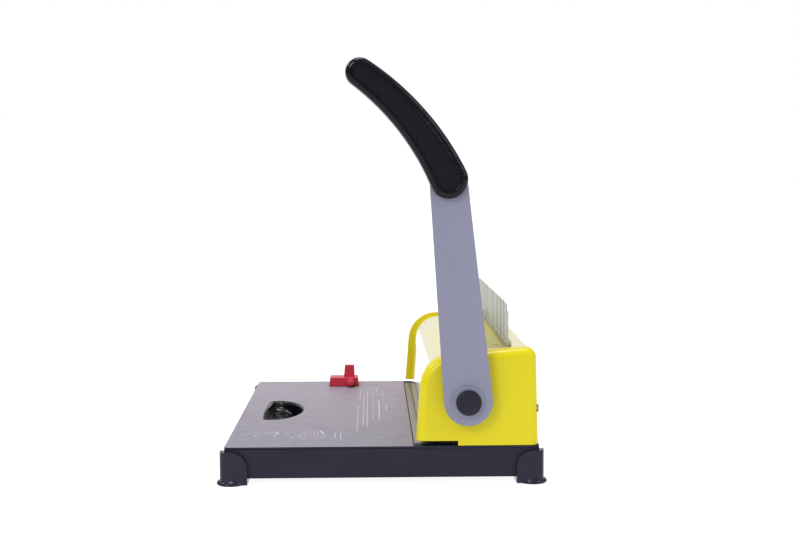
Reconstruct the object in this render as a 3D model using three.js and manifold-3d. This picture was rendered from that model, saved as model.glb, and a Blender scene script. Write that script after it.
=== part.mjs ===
// A manual punch-and-bind machine for plastic comb spines. One pull handle drives a row of
// punches down through a die, and draws the rings of a comb open on the comb stand on top.
// Millimetres, +Z up. The user stands at -Y and the handle is on the +X side.
import * as THREE from "three";
import { mergeVertices } from "three/addons/utils/BufferGeometryUtils.js";
import Module from "manifold-3d";

const wasm = await Module();
wasm.setup();

// ---- Driving dimensions ------------------------------------------------------------------
const GAP = 0.3; // between pieces that touch on the real machine
const RING_PITCH = 14.2875; // 9/16 inch, the standard comb pitch
const RINGS = 24;

const base = { width: 390, depth: 300, bottom: 6.6, top: 36.5, sheet: 2, corner: 4 };
const platform = { rear: 30.3, bottom: 34.5 };
const shaft = { y: 81, z: 81.1, radius: 6, bore: 6.35, left: -188, right: 210 };
const punch = { y: 62, width: 8, thick: 3, tip: 41.4, slack: 0.25 };
const drive = { toothModule: 1.5, punchTeeth: 13, openerTeeth: 22, width: 8, punchX: 164, openerX: 150 };
const throat = { top: 41, stop: 67.5 };
const cap = { inner: 177, outer: 195, wall: 2.7, bevel: 5.5, stepY: 72.4, lip: 41.3, rim: 5.8, rimThick: 2 };
const housing = { frontLow: 33, frontHigh: 38.2, shoulder: 121.5, crest: 130.3,
  rearHigh: 147.1, rearLow: 149.3, frontRound: 34, rearRound: 9.5 };
const frame = { inner: 180, outer: 184 };
const comb = { y: 121.7, thick: 1.6, top: 169.7, tine: 4.6, root: 112, foot: 98, corner: 16 };
const arm = { inner: 205, outer: 210, lean: 5.1, length: 213, endRadius: 22.9, topHalf: 17.7,
  corner: 9 };
const grip = { inner: 196, outer: 219, y: -160.3, z: 187.1, radius: 245.1, bevel: 5,
  startAngle: 24.6, endAngle: 54.8, startHalf: 17.9, endHalf: 13.5 };
const foot = { size: 22.3, stand: 4.3, top: 32.3, arc: 16, padCentre: 6.4, padRadius: 14.3 };
const drawer = { front: 46, back: 96, bottom: 10, top: 25, sheet: 1.5, end: 172 };
const guide = { x0: -175, x1: -154, y0: -61.3, y1: -25.2, z0: 36.8, z1: 47.5, tabTop: 61.5 };
const recess = { half: 57, front: -124, bow: 2.3, shoulder: -115.5, tip: -84.2, corner: 6 };

const degrees = THREE.MathUtils.degToRad;
const DEG_FULL = 2 * Math.PI;

// ---- Solids --------------------------------------------------------------------------------
// A three.js geometry as a solid that can be joined and cut.
function solid(geometry) {
  geometry.deleteAttribute("normal");
  geometry.deleteAttribute("uv");
  const merged = mergeVertices(geometry, 1e-4);
  const index = merged.index.array;
  const faces = [];
  for (let i = 0; i < index.length; i += 3) {
    const [a, b, c] = index.subarray(i, i + 3);
    if (a !== b && b !== c && c !== a) faces.push(a, b, c);
  }
  return new wasm.Manifold(
    new wasm.Mesh({
      numProp: 3,
      vertProperties: merged.attributes.position.array,
      triVerts: new Uint32Array(faces),
    }),
  );
}

const join = (...parts) => parts.flat(2).reduce((whole, part) => whole.add(part));
const cut = (body, ...tools) => tools.flat(2).reduce((left, tool) => left.subtract(tool), body);
const both = (make) => [1, -1].map(make); // the +X side, then its twin on the -X side

function block(x0, x1, y0, y1, z0, z1) {
  const box = new THREE.BoxGeometry(x1 - x0, y1 - y0, z1 - z0);
  return solid(box.translate((x0 + x1) / 2, (y0 + y1) / 2, (z0 + z1) / 2));
}

// The same block on the +X side or, with side -1, mirrored to the -X side.
function sideBlock(side, x0, x1, y0, y1, z0, z1) {
  return side > 0 ? block(x0, x1, y0, y1, z0, z1) : block(-x1, -x0, y0, y1, z0, z1);
}

// How an outline's own axes and its depth lie: across X in (Y, Z), across Y in (X, Z), or flat.
const unit = (x, y, z) => new THREE.Vector3(x, y, z);
const turned = {
  x: new THREE.Matrix4().makeBasis(unit(0, 1, 0), unit(0, 0, 1), unit(1, 0, 0)),
  y: new THREE.Matrix4().makeBasis(unit(1, 0, 0), unit(0, 0, 1), unit(0, -1, 0)),
  z: new THREE.Matrix4(),
};

// An outline drawn out between two stations on an axis, with rounded rims if bevel is given.
function prism(axis, shape, low, high, bevel = 0) {
  const geometry = new THREE.ExtrudeGeometry(shape, {
    depth: high - low - 2 * bevel,
    curveSegments: 6,
    bevelEnabled: bevel > 0,
    bevelSize: bevel,
    bevelThickness: bevel,
    bevelOffset: -bevel,
    bevelSegments: 3,
  });
  geometry.applyMatrix4(turned[axis]);
  const shift = { x: [low + bevel, 0, 0], y: [0, high - bevel, 0], z: [0, 0, low + bevel] }[axis];
  return solid(geometry.translate(...shift));
}

// The same prism across X on either side of the machine.
function sidePrism(side, shape, low, high, bevel = 0) {
  return side > 0 ? prism("x", shape, low, high, bevel) : prism("x", shape, -high, -low, bevel);
}

function disc(radius, a, b, sides = 16) {
  const points = [];
  for (let i = 0; i < sides; i++) {
    const angle = (DEG_FULL * i) / sides;
    points.push(new THREE.Vector2(a + radius * Math.cos(angle), b + radius * Math.sin(angle)));
  }
  return new THREE.Shape(points);
}

const rod = (axis, radius, low, high, a, b, sides) => prism(axis, disc(radius, a, b, sides), low, high);
const sideRod = (side, radius, low, high, a, b, sides) =>
  sidePrism(side, disc(radius, a, b, sides), low, high);

// A closed outline through corners [a, b, radius], each rounded by an arc of its radius.
function outline(corners, steps = 6) {
  const points = [];
  const count = corners.length;
  corners.forEach(([a, b, radius = 0], i) => {
    const here = new THREE.Vector2(a, b);
    if (radius <= 0) {
      points.push(here);
      return;
    }
    const toward = (k) => new THREE.Vector2(...corners[k % count].slice(0, 2)).sub(here).normalize();
    const back = toward(i + count - 1);
    const ahead = toward(i + 1);
    const half = Math.acos(back.dot(ahead)) / 2;
    const centre = back.clone().add(ahead).normalize().multiplyScalar(radius / Math.sin(half)).add(here);
    const start = back.multiplyScalar(radius / Math.tan(half)).add(here).sub(centre).angle();
    const end = ahead.multiplyScalar(radius / Math.tan(half)).add(here).sub(centre).angle();
    const sweep = THREE.MathUtils.euclideanModulo(end - start + Math.PI, DEG_FULL) - Math.PI;
    for (let k = 0; k <= steps; k++) {
      const angle = start + (sweep * k) / steps;
      points.push(new THREE.Vector2(Math.cos(angle), Math.sin(angle)).multiplyScalar(radius).add(centre));
    }
  });
  return new THREE.Shape(points);
}

const rectangle = (a0, a1, b0, b1, r = 0, steps = 4) =>
  outline([[a0, b0, r], [a1, b0, r], [a1, b1, r], [a0, b1, r]], steps);

// Where the comb's rings, and so the punches, the die's holes and the hooks, lie along X.
const ringPlaces = Array.from({ length: RINGS }, (_, i) => (i - (RINGS - 1) / 2) * RING_PITCH);
const tinePlaces = Array.from({ length: RINGS + 1 }, (_, i) => (i - RINGS / 2) * RING_PITCH);

// ---- The assembled machine -----------------------------------------------------------------
const machine = new THREE.Group();
const finish = (color, roughness, metalness) => ({ color, roughness, metalness });
const finishes = {
  darkPaint: finish(0x2b2833, 0.4, 0.2),
  greyPaint: finish(0xa59ba8, 0.5, 0.2),
  yellowPlastic: finish(0xd6cd28, 0.3, 0),
  blackPlastic: finish(0x16151b, 0.3, 0),
  redPlastic: finish(0xbe1e32, 0.45, 0),
  footRubber: finish(0x2f2d35, 0.7, 0),
  armPaint: finish(0x8f8fa5, 0.45, 0.3),
  plainSteel: finish(0xa8aaa6, 0.35, 0.9),
  dieSteel: finish(0x76746a, 0.4, 0.8),
  zincSteel: finish(0xb5b7ba, 0.3, 0.9),
  springSteel: finish(0x6f7276, 0.3, 0.9),
  bronze: finish(0x9a6b35, 0.4, 0.9),
};

function place(name, body, look) {
  const data = body.getMesh();
  const geometry = new THREE.BufferGeometry();
  geometry.setAttribute("position", new THREE.BufferAttribute(new Float32Array(data.vertProperties), 3));
  geometry.setIndex(new THREE.BufferAttribute(new Uint32Array(data.triVerts), 1));
  geometry.computeVertexNormals();
  const mesh = new THREE.Mesh(geometry, new THREE.MeshStandardMaterial(finishes[look]));
  mesh.name = name;
  machine.add(mesh);
}

const sideName = (side) => (side > 0 ? "right" : "left");

// ---- Base ----------------------------------------------------------------------------------
const halfWidth = base.width / 2;
const halfDepth = base.depth / 2;
const footScrewInset = 10.5;

function baseTray() {
  const { bottom, sheet, corner } = base;
  const wallTop = platform.bottom - GAP;
  const drawerOpening = [bottom + sheet + 0.2, drawer.top + 1];
  const [innerX, innerY] = [halfWidth - sheet, halfDepth - sheet];
  const inside = rectangle(-innerX, innerX, -innerY, innerY, corner - sheet);
  const shell = cut(
    prism("z", rectangle(-halfWidth, halfWidth, -halfDepth, halfDepth, corner), bottom, wallTop),
    prism("z", inside, bottom + sheet, base.top),
    block(-halfWidth - 1, -halfWidth + 5, drawer.front - 1, drawer.back + 1, ...drawerOpening),
  );
  const holes = [];
  for (const x of [-1, 1]) {
    for (const y of [-1, 1]) {
      const at = [x * (halfWidth - footScrewInset), y * (halfDepth - footScrewInset)];
      holes.push(rod("z", 2.4, bottom - 1, bottom + sheet + 1, ...at, 8));
    }
  }
  return cut(shell, holes);
}

// The recess's outline: slightly bowed along the front, and a half ellipse towards the housing.
function recessOutline(inset) {
  const half = recess.half - inset;
  const corner = recess.corner - inset;
  const front = recess.front + inset;
  const shoulder = recess.shoulder;
  const steps = 12;
  const bowed = [];
  for (let i = 1; i < steps; i++) {
    const across = (2 * i) / steps - 1;
    bowed.push([half * across, front - recess.bow * (1 - across * across)]);
  }
  const left = [[-half, shoulder], [-half, front, corner]];
  const right = [[half, front, corner], [half, shoulder]];
  const points = outline([...left, ...bowed, ...right], 4).getPoints();
  for (let i = 1; i < steps; i++) {
    const angle = (Math.PI * i) / steps;
    const reach = recess.tip - inset - shoulder;
    points.push(new THREE.Vector2(half * Math.cos(angle), shoulder + reach * Math.sin(angle)));
  }
  return new THREE.Shape(points);
}

const guideSlot = { x0: guide.x0 + 5.4, x1: guide.x1 + 0.4, y0: -45.2, y1: -41.2 };

function platformPlate() {
  const { corner } = base;
  const { rear } = platform;
  const front = [[-halfWidth, -halfDepth, corner], [halfWidth, -halfDepth, corner]];
  const sheet = outline([...front, [halfWidth, rear], [-halfWidth, rear]]);
  const { x0, x1, y0, y1 } = guideSlot;
  return cut(
    prism("z", sheet, platform.bottom, base.top),
    prism("z", recessOutline(0), platform.bottom - 1, base.top + 1),
    block(x0, x1, y0, y1, platform.bottom - 1, base.top + 1),
  );
}

function handholdCup() {
  const floor = 17;
  const wall = 2;
  return cut(
    prism("z", recessOutline(0.4), floor, base.top - 0.1),
    prism("z", recessOutline(0.4 + wall), floor + wall, base.top + 20, 3),
  );
}

const boltHoleY = [112, 132];
const boltX = 173;

function rearDeck() {
  const { corner } = base;
  const front = platform.rear + GAP;
  const back = [[halfWidth, halfDepth, corner], [-halfWidth, halfDepth, corner]];
  const sheet = outline([[-halfWidth, front], [halfWidth, front], ...back]);
  const z = [platform.bottom - 1, base.top + 1];
  return cut(
    prism("z", sheet, platform.bottom, base.top),
    block(-frame.inner, frame.inner, front - 1, 76.4, ...z),
    both((side) => sideBlock(side, frame.inner - 0.5, frame.outer + 0.5, front - 1, 100.5, ...z)),
    both((side) => boltHoleY.map((y) => rod("z", 2.9, ...z, side * boltX, y, 8))),
  );
}

// A corner guard, drawn around the base's corner at the origin with the base towards +X, +Y.
function cornerFoot() {
  const { size, stand, top, arc, padCentre, padRadius } = foot;
  const padTop = base.bottom - GAP;
  const pad = join(
    prism("z", disc(padRadius, padCentre, padCentre, 32), 0, 5, 1.5),
    rod("z", padRadius - 3.8, 4, padTop, padCentre, padCentre, 32),
  );
  const wallOutline = outline([[-stand, -stand, 7], [size, -stand], [size, size], [-stand, size]]);
  const walls = cut(
    prism("z", wallOutline, 0.4, top),
    prism("z", outline([[-GAP, -GAP, base.corner + GAP], [60, -GAP], [60, 60], [-GAP, 60]]), padTop, top + 1),
  );
  // What is left beside the quarter-round on top of each wall is cut away.
  const corner = rectangle(size - arc, size + 1, top - arc, top + 1);
  const round = disc(arc, size - arc, top - arc, 32);
  const away = (axis) => prism(axis, corner, -stand - 1, 0.5).subtract(prism(axis, round, -stand - 2, 1));
  return cut(
    join(pad, cut(walls, away("x"), away("y"))),
    rod("z", 5.2, -1, 4, footScrewInset, footScrewInset, 12),
    rod("z", 2.4, 3, 12, footScrewInset, footScrewInset, 8),
  );
}

// A screw along an axis: a round head from headLow to headHigh, and a shank out to shankEnd.
function pushScrew(axis, headRadius, headLow, headHigh, shankRadius, shankEnd, a, b) {
  const [low, high] = shankEnd > headHigh ? [headHigh - 0.5, shankEnd] : [shankEnd, headLow + 0.5];
  return join(
    rod(axis, headRadius, headLow, headHigh, a, b, 12),
    rod(axis, shankRadius, low, high, a, b, 8),
  );
}

function placeFeet() {
  const corners = [
    ["front_right", 1, -1, 90],
    ["rear_right", 1, 1, 180],
    ["rear_left", -1, 1, 270],
    ["front_left", -1, -1, 0],
  ];
  const guard = cornerFoot();
  for (const [where, x, y, turn] of corners) {
    place("foot_" + where, guard, "footRubber");
    const mesh = machine.children.at(-1);
    mesh.position.set(x * halfWidth, y * halfDepth, 0);
    mesh.rotation.z = degrees(turn);
    const at = [x * (halfWidth - footScrewInset), y * (halfDepth - footScrewInset)];
    place("foot_screw_" + where, pushScrew("z", 4.6, 1.2, 3.7, 1.9, 13, ...at), "zincSteel");
  }
}

function chipDrawer() {
  const { front, back, bottom, top, sheet, end } = drawer;
  const face = -halfWidth - GAP;
  const box = cut(
    block(face - 0.5, end, front, back, bottom, top),
    block(-halfWidth + sheet, end - sheet, front + sheet, back - sheet, bottom + sheet, top + 1),
  );
  const panel = block(face - 2, face, front - 3.5, back + 3.5, bottom, top + 4);
  const pull = block(face - 6, face - 1, 60, 82, top - 1, top + 2);
  return join(box, panel, pull);
}

// ---- Paper side guide ----------------------------------------------------------------------
const knob = { y: -35, z: 42.2, radius: 5.2, tip: guide.x1 + 13 };

function sideGuide() {
  const { x0, x1, y0, y1, z0, z1, tabTop } = guide;
  const draft = 1;
  const bar = prism("x", outline([[y0, z0], [y1, z0], [y1 - draft, z1, 1], [y0 + draft, z1, 1]], 2), x0, x1);
  const tabShape = outline([[-44, z1 - 1], [-30, z1 - 1], [-30.8, tabTop], [-42.4, tabTop]]);
  const tab = prism("x", tabShape, x0 + 6, x0 + 12);
  const key = block(x1 - 6, x1, guideSlot.y0 + 0.4, guideSlot.y1 - 0.4, 31.8, z0 + 1);
  return cut(join(bar, tab, key), rod("x", 2.2, x1 - 8, x1 + 1, knob.y, knob.z, 12));
}

function guideClampPlate() {
  return cut(
    block(guide.x1 - 11, guide.x1 + 7, -52, -34, 31.2, platform.bottom - GAP),
    block(guide.x1 - 6.3, guide.x1 + 0.3, guideSlot.y0, guideSlot.y1, 30, 36),
  );
}

// A fluted cone that points along +X, with a stem into the guide bar.
function guideLockKnob() {
  const { y, z, radius, tip } = knob;
  const lobes = 10;
  const points = [];
  for (let i = 0; i < 2 * lobes; i++) {
    const reach = i % 2 ? radius - 1 : radius;
    const angle = (Math.PI * i) / lobes;
    points.push(new THREE.Vector2(y + reach * Math.cos(angle), z + reach * Math.sin(angle)));
  }
  const foot = guide.x1 + GAP;
  const cone = new THREE.CylinderGeometry(2.6, radius + 0.6, tip - foot, 20);
  cone.rotateZ(-Math.PI / 2).translate((tip + foot) / 2, y, z);
  return join(
    prism("x", new THREE.Shape(points), foot, tip).intersect(solid(cone)),
    rod("x", 1.8, guide.x1 - 7, foot + 1, y, z, 8),
  );
}

// ---- Housing -------------------------------------------------------------------------------
// The housing's side outline, set in from the front, top and rear by the given amounts.
function housingOutline(front, top, rear, lip, floor, stepY = cap.stepY) {
  const h = housing;
  const corners = [
    [h.frontLow + front, lip],
    [stepY, lip],
    [stepY, floor],
    [h.rearLow - rear, floor],
    [h.rearHigh - rear, h.crest - top, Math.max(h.rearRound - top, 3)],
    [h.frontHigh + front, h.shoulder - top, h.frontRound - Math.max(front, top)],
  ];
  return outline(corners, 7);
}

const rearLug = { x: 187.5, z: 71 };

function endCap(side) {
  const { inner, outer, wall, bevel, lip, rim, rimThick } = cap;
  const floor = base.top + GAP;
  const shell = cut(
    sidePrism(side, housingOutline(0, 0, 0, lip, floor), inner - 20, outer, bevel),
    sideBlock(side, inner - 30, inner, 0, 200, 0, 200),
    sidePrism(side, housingOutline(wall, wall, wall, 0, 0), inner + rimThick, outer - wall),
    sidePrism(side, housingOutline(rim, wall, wall, 0, 0), inner - 1, inner + rimThick + 0.5),
    rod("y", 2.3, 140, 155, side * rearLug.x, rearLug.z, 8),
  );
  // Only the handle's side has a hole, for the shaft.
  return side > 0 ? cut(shell, rod("x", 7.5, outer - 10, outer + 1, shaft.y, shaft.z, 20)) : shell;
}

const coverInset = { front: 5.5, top: 2.2, rear: 1.5, wall: 2.5 };
const coverScrew = { x: 100, z: 105 };

function centreCover() {
  const { front, top, rear, wall } = coverInset;
  const half = cap.inner - GAP;
  const floor = base.top + GAP;
  const shell = cut(
    prism("x", housingOutline(front, top, rear, cap.lip, floor, 60), -half, half),
    prism("x", housingOutline(front + wall, top + wall, rear + wall, 0, 0, 60), -half - 1, half + 1),
  );
  const bossStart = 132.4;
  const bosses = both((side) => rod("y", 5, bossStart, 146, side * coverScrew.x, coverScrew.z, 12));
  const holes = both((side) => rod("y", 2.2, bossStart - 1, 155, side * coverScrew.x, coverScrew.z, 8));
  const z = [110, 140];
  const tineSlots = tinePlaces.map((x) => block(x - 2.8, x + 2.8, comb.y - 1.5, comb.y + 1.5, ...z));
  const hookSlots = ringPlaces.map((x) => block(x - 2.4, x + 2.4, comb.y - 25, comb.y + 5, ...z));
  return cut(join(shell, bosses), holes, tineSlots, hookSlots);
}

// ---- Frame and punching tool -----------------------------------------------------------------
function sideFrame(side) {
  const { inner, outer } = frame;
  const deck = base.top + GAP;
  const plate = outline([
    [33, 27], [100, 27], [100, deck], [143, deck], [143, 114, 6], [46, 114, 24],
    [44, throat.top], [throat.stop, throat.top], [throat.stop, base.top - GAP], [33, base.top - GAP],
  ]);
  const flange = sideBlock(side, 166, inner + 1, 104, 140, deck, deck + 4);
  const lug = sideBlock(side, outer - 1, 191, 136, 143, rearLug.z - 5, rearLug.z + 5);
  return cut(
    join(sidePrism(side, plate, inner, outer), flange, lug),
    sideRod(side, 9.4, inner - 1, outer + 1, shaft.y, shaft.z, 20),
    rod("y", 1.8, 130, 150, side * rearLug.x, rearLug.z, 8),
    boltHoleY.map((y) => rod("z", 2.9, deck - 1, deck + 5, side * boltX, y, 8)),
  );
}

function frameBolt(side, y) {
  const head = base.top + GAP + 4 + GAP;
  return join(
    rod("z", 5, head, head + 3.8, side * boltX, y, 6),
    rod("z", 2.5, 29, head + 1, side * boltX, y, 8),
  );
}

// A row of rectangular holes on the punches' line, all through a plate.
function punchHoles(z0, z1) {
  const halfX = punch.width / 2 + punch.slack;
  const halfY = punch.thick / 2 + punch.slack;
  return ringPlaces.map((x) => block(x - halfX, x + halfX, punch.y - halfY, punch.y + halfY, z0 - 1, z1 + 1));
}

const plateHalf = frame.inner - GAP;
const platePlaces = { die: [31.3, base.top - 0.1], upper: [throat.top, throat.top + 6], rear: 76 };

function diePlate() {
  const [z0, z1] = platePlaces.die;
  return cut(block(-plateHalf, plateHalf, platform.rear + 0.7, platePlaces.rear, z0, z1), punchHoles(z0, z1));
}

function punchGuidePlate() {
  const [z0, z1] = platePlaces.upper;
  return cut(block(-plateHalf, plateHalf, 44, platePlaces.rear, z0, z1), punchHoles(z0, z1));
}

function paperStopBar() {
  const half = plateHalf - 4;
  return block(-half, half, throat.stop + 0.5, 75.5, platePlaces.die[1] + GAP, throat.top - GAP);
}

// ---- Rack and pinion drives ------------------------------------------------------------------
// Stub teeth with a 20 degree pressure angle.
const tooth = {
  pitch: Math.PI * drive.toothModule,
  head: 0.75 * drive.toothModule,
  root: drive.toothModule,
  slope: Math.tan(degrees(20)),
  backlash: 0.36,
};
const punchRadius = (drive.toothModule * drive.punchTeeth) / 2;
const openerRadius = (drive.toothModule * drive.openerTeeth) / 2;

// A toothed sector about the shaft with teeth first..last, tooth 0 centred on contactAngle.
function toothedSector(teeth, contactAngle, first, last, hub) {
  const radius = (drive.toothModule * teeth) / 2;
  const baseRadius = radius * Math.cos(degrees(20));
  const involute = (angle) => Math.tan(angle) - angle;
  const halfTooth = (r) => {
    const flank = r > baseRadius ? involute(Math.acos(baseRadius / r)) : 0;
    return Math.PI / (2 * teeth) - tooth.backlash / (2 * radius) + involute(degrees(20)) - flank;
  };
  const step = DEG_FULL / teeth;
  const point = (r, angle) => new THREE.Vector2(shaft.y + r * Math.cos(angle), shaft.z + r * Math.sin(angle));
  const root = radius - tooth.root;
  const radii = [root, Math.max(baseRadius, root + 0.3), radius, radius + tooth.head];
  const points = [];
  for (let i = first; i <= last; i++) {
    const middle = contactAngle + i * step;
    radii.forEach((r) => points.push(point(r, middle - halfTooth(r))));
    radii.toReversed().forEach((r) => points.push(point(r, middle + halfTooth(r))));
  }
  const from = contactAngle + last * step + step / 2;
  const to = contactAngle + first * step - step / 2 + DEG_FULL;
  const hubSteps = 10;
  for (let i = 0; i <= hubSteps; i++) points.push(point(hub, from + ((to - from) * i) / hubSteps));
  const shape = new THREE.Shape(points);
  shape.holes.push(disc(shaft.bore, shaft.y, shaft.z, 20));
  return shape;
}

// A rack's edge along s from low to high: teeth of the given height direction on a flat back.
// The gap between two teeth is centred on middle, where the sector's tooth 0 stands.
function rackOutline(middle, first, last, low, high, pitchLine, out, back) {
  const points = [];
  for (let i = first; i <= last; i++) {
    const centre = middle + (i + 0.5) * tooth.pitch;
    const halfAt = (height) => tooth.pitch / 4 - tooth.backlash / 4 - height * tooth.slope;
    const rise = [-tooth.root, tooth.head];
    rise.forEach((h) => points.push([centre - halfAt(h), pitchLine + out * h]));
    rise.toReversed().forEach((h) => points.push([centre + halfAt(h), pitchLine + out * h]));
  }
  const root = pitchLine - out * tooth.root;
  return [[low, back], [low, root], ...points, [high, root], [high, back]];
}

const punchBarBody = { front: 56.5, rear: 67.5, bottom: 62, top: 76, half: 172 };
const spring = { x: 120, y: 72, low: 47.4, high: 65.6, radius: 3.4, wire: 0.5, turns: 5 };

function punchBar() {
  const { front, rear, bottom, top, half } = punchBarBody;
  const [halfX, halfY] = [punch.width / 2, punch.thick / 2];
  const pinSides = [punch.y - halfY, punch.y + halfY, punch.tip, bottom + 1];
  const pins = ringPlaces.map((x) => block(x - halfX, x + halfX, ...pinSides));
  const pitchLine = shaft.y - punchRadius;
  const rack = rackOutline(shaft.z, -1, 3, top - 1, 100, pitchLine, 1, 61);
  const rackShape = new THREE.Shape(rack.map(([z, y]) => new THREE.Vector2(y, z)));
  const halfRack = drive.width / 2 - 0.5;
  const racks = both((side) => sidePrism(side, rackShape, drive.punchX - halfRack, drive.punchX + halfRack));
  const seatSides = [rear - 1, 76.5, spring.high + GAP, 69.5];
  const seats = both((side) => sideBlock(side, spring.x - 8, spring.x + 8, ...seatSides));
  return join(block(-half, half, front, rear, bottom, top), pins, racks, seats);
}

class Helix extends THREE.Curve {
  constructor(x) {
    super();
    this.x = x;
  }
  getPoint(t, target = new THREE.Vector3()) {
    const angle = DEG_FULL * spring.turns * t;
    const low = spring.low + spring.wire;
    const high = spring.high - spring.wire;
    const { y, radius } = spring;
    target.set(this.x + radius * Math.cos(angle), y + radius * Math.sin(angle), low + (high - low) * t);
    return target;
  }
}

function returnSpring(side) {
  const section = disc(spring.wire, 0, 0, 6);
  const options = { steps: spring.turns * 8, extrudePath: new Helix(side * spring.x), bevelEnabled: false };
  return solid(new THREE.ExtrudeGeometry(section, options));
}

const driveSector = (side, shape, x) => sidePrism(side, shape, x - drive.width / 2, x + drive.width / 2);
const punchSector = toothedSector(drive.punchTeeth, Math.PI, -3, 1, punchRadius - tooth.root);
const openerSector = toothedSector(drive.openerTeeth, Math.PI / 2, -5, 1, 10);

function driveShaft() {
  const { left, right, radius, y, z } = shaft;
  return cut(rod("x", radius, left, right, y, z, 20), rod("x", 3.5, right - 17, right + 1, y, z, 12));
}

function shaftBush(side) {
  const { y, z, bore } = shaft;
  const flanged = join(
    sideRod(side, 9, frame.inner - 1.6, frame.outer + 1, y, z, 20),
    sideRod(side, 11, frame.outer + GAP, frame.outer + 2, y, z, 20),
  );
  return cut(flanged, sideRod(side, bore, frame.inner - 3, frame.outer + 3, y, z, 20));
}

function shaftClip() {
  const { y, z, bore } = shaft;
  return cut(
    rod("x", 9.5, -187.6, -186.4, y, z, 16),
    rod("x", bore, -189, -185, y, z, 16),
    block(-189, -185, y - 3, y + 3, z, z + 12),
  );
}

// ---- Comb stand and opener -------------------------------------------------------------------
function tinePlate() {
  const { y, thick, top, tine, root, foot: low, corner } = comb;
  const half = tinePlaces.at(-1) + tine / 2;
  const plate = outline([[-half, low], [half, low], [half, top, corner], [-half, top, corner]]);
  const gapHalf = (RING_PITCH - tine) / 2;
  const gaps = ringPlaces.map((x) => block(x - gapHalf, x + gapHalf, y - 5, y + 5, root, top + 1));
  return cut(prism("y", plate, y - thick / 2, y + thick / 2), gaps);
}

const tineBarPlace = [comb.y + comb.thick / 2 + GAP, 132, 99, 111];

// Hooks stand between the tines at rest, on a plate that two racks draw to the front.
function hookCarriage() {
  const plateFront = 104;
  const plateRear = comb.y - comb.thick / 2 - 1.4;
  const top = 133;
  const z0 = comb.root + 1.5;
  const z1 = z0 + 2.5;
  const plate = block(-176, 176, plateFront, plateRear, z0, z1);
  const hook = outline([
    [plateFront + 8, z0], [comb.y + 4.2, z0], [comb.y + 4.2, top], [comb.y - 0.8, top],
    [comb.y - 0.8, top - 2], [comb.y + 1.5, top - 3], [comb.y + 1.5, z1], [plateFront + 8, z1],
  ]);
  const hooks = ringPlaces.map((x) => prism("x", hook, x - 1.5, x + 1.5));
  const pitchLine = shaft.z + openerRadius;
  const rack = rackOutline(shaft.y, -2, 5, 70, 110, pitchLine, -1, 102);
  const rackShape = new THREE.Shape(rack.map(([y, z]) => new THREE.Vector2(y, z)));
  const halfRack = drive.width / 2 - 0.5;
  const { openerX } = drive;
  const racks = both((side) => sidePrism(side, rackShape, openerX - halfRack, openerX + halfRack));
  const riserSides = [106, plateRear, 98.5, z0 + 1];
  const risers = both((side) => sideBlock(side, openerX - halfRack, openerX + halfRack, ...riserSides));
  return join(plate, hooks, racks, risers);
}

function openerRail(side) {
  return sideBlock(side, 173, frame.inner - GAP, 83, comb.y - 2.2, 109.8, comb.root + 1.2);
}

// ---- Handle ----------------------------------------------------------------------------------
const armAxis = new THREE.Vector2(-Math.sin(degrees(arm.lean)), Math.cos(degrees(arm.lean)));
const armNormal = new THREE.Vector2(armAxis.y, -armAxis.x);
const onArm = (along, across) =>
  new THREE.Vector2(shaft.y, shaft.z).addScaledVector(armAxis, along).addScaledVector(armNormal, across);
const gripPoint = (angle, across) => {
  const r = grip.radius + across;
  return new THREE.Vector2(grip.y + r * Math.cos(degrees(angle)), grip.z + r * Math.sin(degrees(angle)));
};

// The flat bar: a round end about the shaft, tapering up to a rounded top inside the grip.
function barOutline(grow) {
  const low = arm.endRadius + grow;
  const high = arm.topHalf + grow;
  const points = [];
  const steps = 16;
  for (let i = 0; i <= steps; i++) {
    const angle = -(Math.PI * i) / steps;
    points.push(onArm(low * Math.sin(angle), -low * Math.cos(angle)));
  }
  const { corner } = arm;
  const end = arm.length + grow;
  for (const [centre, from] of [[high - corner, 0], [corner - high, 90]]) {
    for (let i = 0; i <= 4; i++) {
      const angle = degrees(from + (90 * i) / 4);
      points.push(onArm(end - corner + corner * Math.sin(angle), centre + corner * Math.cos(angle)));
    }
  }
  return new THREE.Shape(points);
}

// A band along the grip's arc, half as wide as the two given widths, with round ends.
function bandOutline(from, to, startHalf, endHalf, steps) {
  const points = [];
  const at = (i) => from + ((to - from) * i) / steps;
  const half = (i) => startHalf + ((endHalf - startHalf) * i) / steps;
  for (let i = 0; i <= steps; i++) points.push(gripPoint(at(i), half(i)));
  const roundEnd = (angle, radius, turn) => {
    const centre = gripPoint(angle, 0);
    for (let i = 1; i < 8; i++) {
      const a = degrees(angle + turn + (180 * i) / 8);
      points.push(new THREE.Vector2(centre.x + radius * Math.cos(a), centre.y + radius * Math.sin(a)));
    }
  };
  roundEnd(to, endHalf, 0);
  for (let i = steps; i >= 0; i--) points.push(gripPoint(at(i), -half(i)));
  roundEnd(from, startHalf, 180);
  return new THREE.Shape(points);
}

const tang = { from: 24, to: 50, startHalf: 10, endHalf: 8.5 };
const tangOutline = (grow) => bandOutline(tang.from, tang.to, tang.startHalf + grow, tang.endHalf + grow, 6);
const gripScrewAngles = { lower: 31, upper: 46 };
const gripScrewPoints = Object.values(gripScrewAngles).map((angle) => gripPoint(angle, 0));

function handleArm() {
  const { inner, outer } = arm;
  return cut(
    join(prism("x", barOutline(0), inner, outer), prism("x", tangOutline(0), inner, outer)),
    rod("x", shaft.bore, inner - 1, outer + 1, shaft.y, shaft.z, 20),
    gripScrewPoints.map((p) => rod("x", 2.6, inner - 1, outer + 1, p.x, p.y, 8)),
  );
}

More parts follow.
